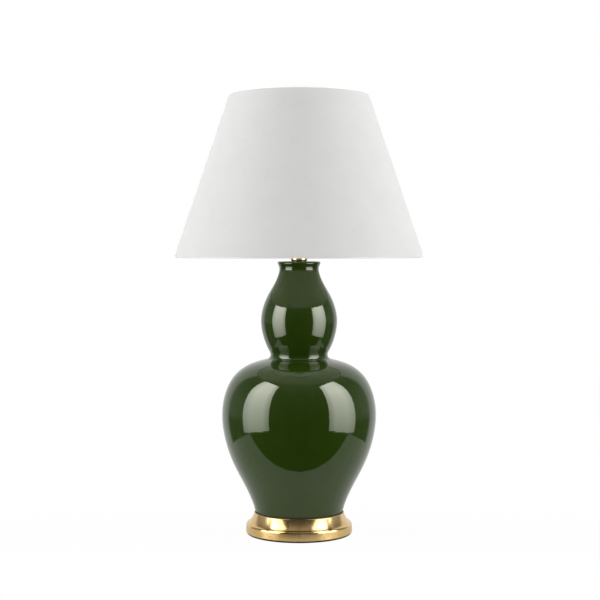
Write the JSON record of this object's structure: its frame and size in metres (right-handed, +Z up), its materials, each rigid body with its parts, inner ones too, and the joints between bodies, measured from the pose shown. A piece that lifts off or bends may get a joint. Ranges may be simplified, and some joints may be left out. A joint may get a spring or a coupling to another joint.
{
  "type": "table lamp",
  "caption": "Glazed ceramic double gourd table lamp on a turned brass foot, with a tapered fabric shade carried on a harp over a switched socket and bulb.",
  "frame": {"origin": "centre of the felt pad's underside, on the table", "axes": "+Z up along the lamp's axis, -Y towards the front where the switch knob points, +Y towards the cord inlet at the back"},
  "size_m": [0.4572, 0.457, 0.8065],
  "materials": {
    "felt": "matte felt",
    "base_brass": "polished, lacquered",
    "iron": "rough cast",
    "bushing": "moulded",
    "gasket": "matte",
    "glaze": "high gloss dark green glaze",
    "steel": "zinc plated",
    "harp_brass": "plated, satin",
    "socket_brass": "spun, polished",
    "fish_paper": "matte",
    "phenolic": "moulded, glossy",
    "aluminium": "bright",
    "bulb_glass": "frosted white",
    "shade_fabric": "plain weave linen, off-white",
    "shade_liner": "matte white sheet",
    "frame_wire": "white powder coat"
  },
  "bodies": {
    "lamp_base": {"felt_pad": "felt", "brass_base": "base_brass", "base_weight": "iron", "cord_bushing": "bushing", "foot_gasket": "gasket", "ceramic_body": "glaze", "lamp_rod": "steel", "rod_washer": "steel", "rod_lock_washer": "steel", "rod_nut": "steel", "top_gasket": "gasket", "neck_collar": "base_brass", "harp_saddle": "harp_brass", "saddle_nut": "steel", "socket_cap": "socket_brass", "socket_set_screw": "steel", "socket_shell": "socket_brass", "socket_insulator": "fish_paper", "socket_interior": "phenolic", "socket_terminals": "harp_brass", "socket_centre_contact": "socket_brass", "socket_screw_shell": "aluminium"},
    "switch": {"switch_shaft": "socket_brass", "switch_knob": "phenolic"},
    "bulb": {"bulb_glass": "bulb_glass", "bulb_screw_cap": "aluminium", "bulb_insulator": "phenolic", "bulb_contact": "steel"},
    "harp": {"harp_wire": "harp_brass"},
    "harp_sleeve_left": {"harp_sleeve_left": "harp_brass"},
    "harp_sleeve_right": {"harp_sleeve_right": "harp_brass"},
    "harp_stud": {"harp_stud": "harp_brass"},
    "shade": {"shade_cover": "shade_fabric", "shade_liner": "shade_liner", "shade_top_frame": "frame_wire", "shade_bottom_ring": "frame_wire"},
    "finial": {"finial": "base_brass"}
  },
  "joints": [
    {"name": "switch_turn", "type": "hinge", "parent": "lamp_base", "child": "switch", "pos_m": [0, -0.019, 0.5455], "axis": [0, -1, 0], "continuous": true},
    {"name": "bulb_unscrew", "type": "slide", "parent": "lamp_base", "child": "bulb", "axis": [0, 0, 1], "range_m": [0, 0.05]},
    {"name": "harp_lift", "type": "slide", "parent": "lamp_base", "child": "harp", "axis": [0, 0, 1], "range_m": [0, 0.025]},
    {"name": "sleeve_left_lift", "type": "slide", "parent": "harp", "child": "harp_sleeve_left", "axis": [0, 0, 1], "range_m": [0, 0.012]},
    {"name": "sleeve_right_lift", "type": "slide", "parent": "harp", "child": "harp_sleeve_right", "axis": [0, 0, 1], "range_m": [0, 0.012]},
    {"name": "harp_swivel", "type": "hinge", "parent": "harp", "child": "harp_stud", "pos_m": [0, 0, 0.7832], "axis": [0, 0, 1], "continuous": true},
    {"name": "shade_lift", "type": "slide", "parent": "harp_stud", "child": "shade", "axis": [0, 0, 1], "range_m": [0, 0.3]},
    {"name": "finial_unscrew", "type": "slide", "parent": "shade", "child": "finial", "axis": [0, 0, 1], "range_m": [0, 0.015]}
  ]
}
